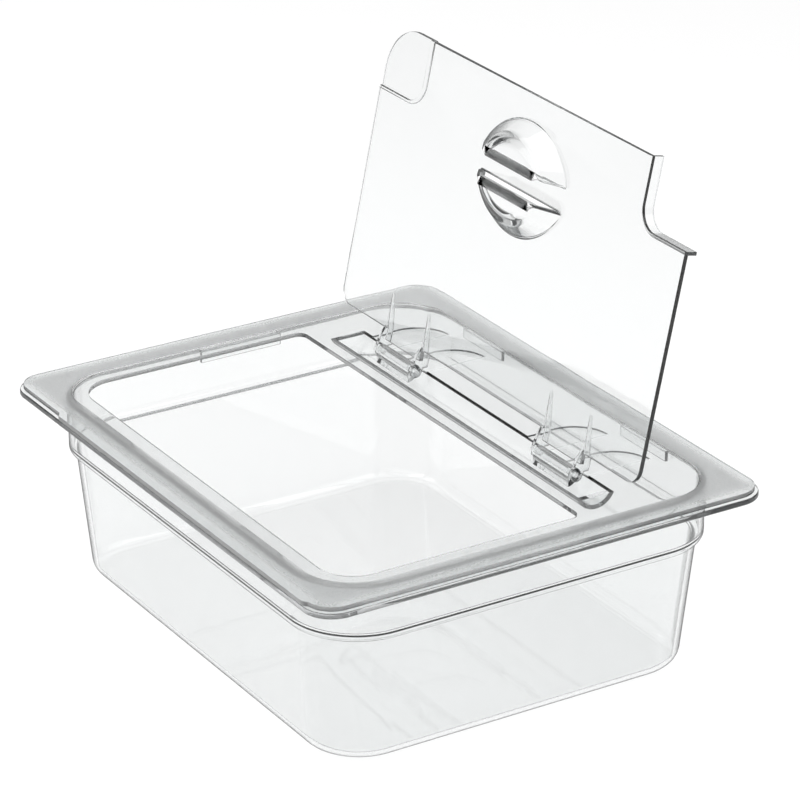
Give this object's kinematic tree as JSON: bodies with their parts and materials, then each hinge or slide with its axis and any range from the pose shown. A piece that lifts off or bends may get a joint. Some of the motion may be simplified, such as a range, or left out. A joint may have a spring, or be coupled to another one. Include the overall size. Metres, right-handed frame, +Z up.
{
  "type": "food pan with flip lid",
  "caption": "Clear half-size food pan with a stacking shoulder and a drop-on lid whose notched flap swings up on hinge clips",
  "frame": {"origin": "middle of the pan's underside", "axes": "+Z up, +Y along the hinge line and the long side of the pan, +X from the access opening towards the hinge"},
  "size_m": [0.265, 0.325, 0.2711],
  "materials": {
    "pan": "clear moulded polycarbonate, polished",
    "lid_frame": "clear moulded polycarbonate with a fine matt texture on the outer band",
    "flap": "clear moulded polycarbonate, polished"
  },
  "bodies": {
    "pan": {"pan": "pan"},
    "lid": {"lid_frame": "lid_frame"},
    "flap": {"flap": "flap"}
  },
  "joints": [
    {"name": "lid_lift", "type": "slide", "parent": "pan", "child": "lid", "axis": [0, 0, 1], "range_m": [0, 0.08]},
    {"name": "flap_hinge", "type": "hinge", "parent": "lid", "child": "flap", "pos_m": [0.059, 0, 0.1027], "axis": [0, 1, 0], "range_deg": [-102, 0]}
  ]
}
